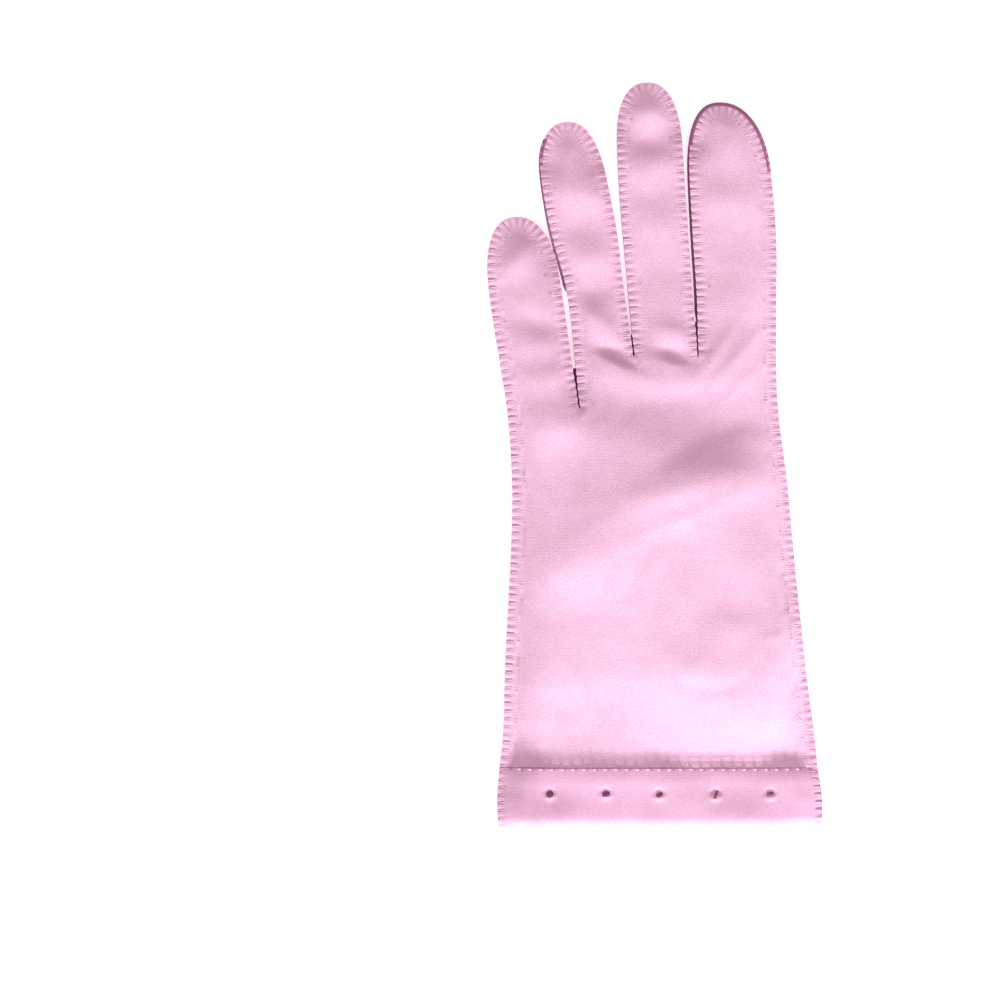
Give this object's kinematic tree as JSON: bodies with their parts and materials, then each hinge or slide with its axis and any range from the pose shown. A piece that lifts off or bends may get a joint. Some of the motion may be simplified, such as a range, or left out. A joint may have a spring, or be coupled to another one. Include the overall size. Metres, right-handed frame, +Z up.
{
  "type": "dress glove",
  "caption": "Wrist-length pale pink fabric dress glove for the left hand, lying flat, with hand-stitched outer seams and an eyelet-trimmed turned cuff band",
  "frame": {"origin": "on the surface below the middle of the glove's box, where it lies on its palm", "axes": "+Y from the cuff to the fingertips, +Z up out of the back of the hand, +X from the little finger to the index finger"},
  "size_m": [0.1022, 0.2276, 0.014],
  "materials": {
    "knit": "fine matt simplex knit, pale pink, with faint crosswise lines",
    "fourchette": "the same knit in the shade between the fingers",
    "band": "doubled pale pink knit with punched eyelets"
  },
  "bodies": {
    "root": {"back_panel": "knit", "palm_panel": "knit", "fourchette_ring_little": "fourchette", "fourchette_middle_ring": "fourchette", "fourchette_index_middle": "fourchette", "thumb": "knit", "cuff_band_back": "band", "cuff_band_palm": "band"}
  },
  "joints": []
}
